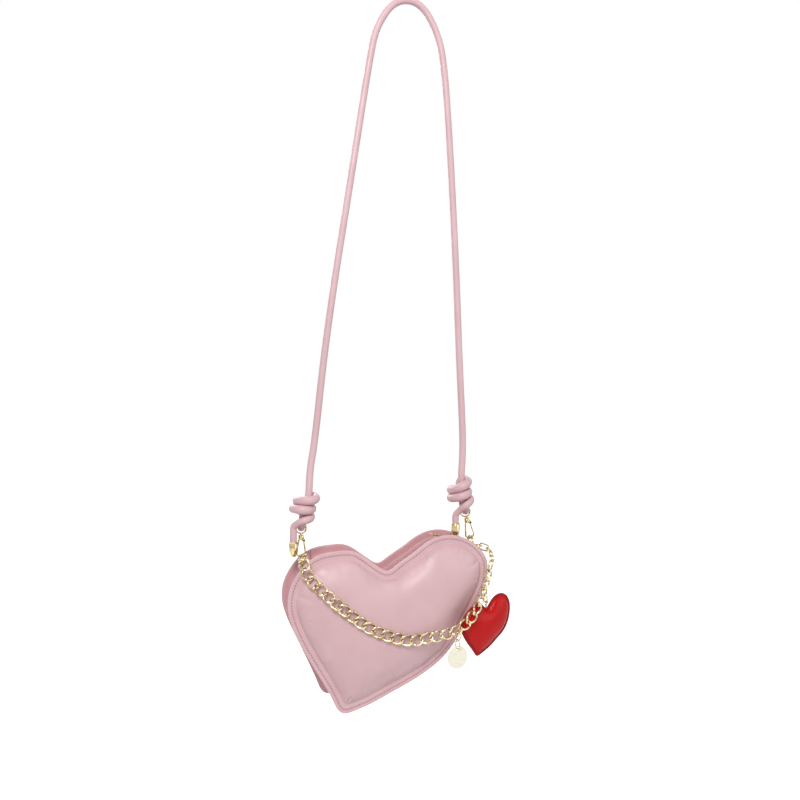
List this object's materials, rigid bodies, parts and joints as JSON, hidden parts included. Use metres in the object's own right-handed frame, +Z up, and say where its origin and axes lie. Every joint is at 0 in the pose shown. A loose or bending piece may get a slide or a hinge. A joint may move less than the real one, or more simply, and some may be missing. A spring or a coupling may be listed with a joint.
{
  "type": "heart shaped purse",
  "caption": "Padded heart shaped leather purse on a knotted cord strap with snap hooks, a zip between its flanges, and a draped chain with a heart and a disc charm.",
  "frame": {"origin": "underside of the cord at the top of the strap, where the purse hangs", "axes": "+Z up, front of the purse faces -Y, +X to the right as seen from the front"},
  "size_m": [0.225, 0.101, 0.7132],
  "materials": {
    "pink_leather": "smooth, semi-gloss",
    "stuffing": "soft fill",
    "lining_cloth": "woven",
    "zip_cloth": "woven tape",
    "gold_metal": "polished pale gold",
    "gold_chain": "polished pale gold",
    "red_gloss": "patent gloss",
    "cream_disc": "polished cream gold"
  },
  "bodies": {
    "strap": {"strap_cord": "pink_leather", "cord_cap_left": "gold_metal", "cord_cap_right": "gold_metal", "hook_eye_left": "gold_metal", "hook_eye_right": "gold_metal"},
    "hook_left": {"hook_body_left": "gold_metal", "gate_pin_left": "gold_metal"},
    "hook_right": {"hook_body_right": "gold_metal", "gate_pin_right": "gold_metal"},
    "gate_left": {"hook_gate_left": "gold_metal"},
    "gate_right": {"hook_gate_right": "gold_metal"},
    "bag": {"front_panel": "pink_leather", "front_padding": "stuffing", "front_lining": "lining_cloth", "back_panel": "pink_leather", "back_padding": "stuffing", "back_lining": "lining_cloth", "gusset": "pink_leather", "gusset_lining": "lining_cloth", "zip_strip_front": "pink_leather", "zip_strip_back": "pink_leather", "zip_tape_front": "zip_cloth", "zip_tape_back": "zip_cloth", "zip_teeth_front": "gold_metal", "zip_teeth_back": "gold_metal", "zip_stops": "gold_metal", "ring_tab_left": "pink_leather", "ring_tab_right": "pink_leather"},
    "ring_left": {"d_ring_left": "gold_metal"},
    "ring_right": {"d_ring_right": "gold_metal"},
    "chain": {"chain_ring_left": "gold_chain", "curb_chain": "gold_chain", "chain_end_ring": "gold_chain", "chain_small_links": "gold_chain", "chain_square_ring": "gold_chain", "chain_end_link": "gold_chain"},
    "heart_ring": {"heart_jump_ring": "gold_chain"},
    "heart": {"heart_eyelet": "gold_chain", "heart_charm_front": "red_gloss", "heart_charm_back": "red_gloss", "heart_charm_filling": "stuffing"},
    "disc_hanger": {"disc_links": "gold_chain"},
    "disc": {"charm_disc": "cream_disc"},
    "slider": {"zip_slider": "gold_metal"},
    "pull": {"zip_pull": "gold_metal"}
  },
  "joints": [
    {"name": "bag_swing", "type": "hinge", "parent": "strap", "child": "bag", "pos_m": [-0.02028, 0, -0.55775], "axis": [0.9982, 0, 0.0592], "range_deg": [-25, 25]},
    {"name": "hook_left_swivel", "type": "hinge", "parent": "strap", "child": "hook_left", "pos_m": [-0.109, 0, -0.535], "axis": [0, 0, 1], "range_deg": [-20, 20]},
    {"name": "hook_right_swivel", "type": "hinge", "parent": "strap", "child": "hook_right", "pos_m": [0.06843, 0, -0.54759], "axis": [-0.2079, 0, 0.9781], "range_deg": [-20, 20]},
    {"name": "gate_left_open", "type": "hinge", "parent": "hook_left", "child": "gate_left", "pos_m": [-0.1062, 0, -0.54241], "axis": [0, 1, 0], "range_deg": [0, 25], "stiffness_Nm_per_rad": 0.01},
    {"name": "gate_right_open", "type": "hinge", "parent": "hook_right", "child": "gate_right", "pos_m": [0.0679, 0, -0.53165], "axis": [0, 1, 0], "range_deg": [0, 25], "stiffness_Nm_per_rad": 0.01},
    {"name": "ring_left_tilt", "type": "hinge", "parent": "bag", "child": "ring_left", "pos_m": [-0.109, 0, -0.56841], "axis": [0, 1, 0], "range_deg": [-3, 3]},
    {"name": "ring_right_tilt", "type": "hinge", "parent": "bag", "child": "ring_right", "pos_m": [0.06843, 0, -0.55789], "axis": [0, 1, 0], "range_deg": [-4, 2]},
    {"name": "chain_swing", "type": "hinge", "parent": "bag", "child": "chain", "pos_m": [-0.02028, -0.00715, -0.55691], "axis": [-0.9994, 0.0039, -0.033], "range_deg": [0, 36]},
    {"name": "heart_ring_swing", "type": "hinge", "parent": "chain", "child": "heart_ring", "pos_m": [0.06813, -0.04001, -0.59843], "axis": [0.8167, 0.1005, 0.5683], "range_deg": [-6, 6]},
    {"name": "heart_swing", "type": "hinge", "parent": "heart_ring", "child": "heart", "pos_m": [0.07019, -0.03897, -0.60557], "axis": [-0.2022, 0.9793, 0], "range_deg": [-10, 10]},
    {"name": "disc_hanger_swing", "type": "hinge", "parent": "chain", "child": "disc_hanger", "pos_m": [0.03623, -0.05041, -0.63152], "axis": [0.6363, -0.7448, 0.2012], "range_deg": [-8, 8]},
    {"name": "disc_swing", "type": "hinge", "parent": "disc_hanger", "child": "disc", "pos_m": [0.03623, -0.05041, -0.64557], "axis": [0.3174, -0.9483, 0], "range_deg": [-15, 15]},
    {"name": "zip_run", "type": "hinge", "parent": "bag", "child": "slider", "pos_m": [0.03727, 0, -0.58556], "axis": [0, -1, 0], "range_deg": [0, 45]},
    {"name": "zip_pull_flip", "type": "hinge", "parent": "slider", "child": "pull", "pos_m": [0.04627, 0, -0.54658], "axis": [0, 1, 0], "range_deg": [0, 60]}
  ]
}
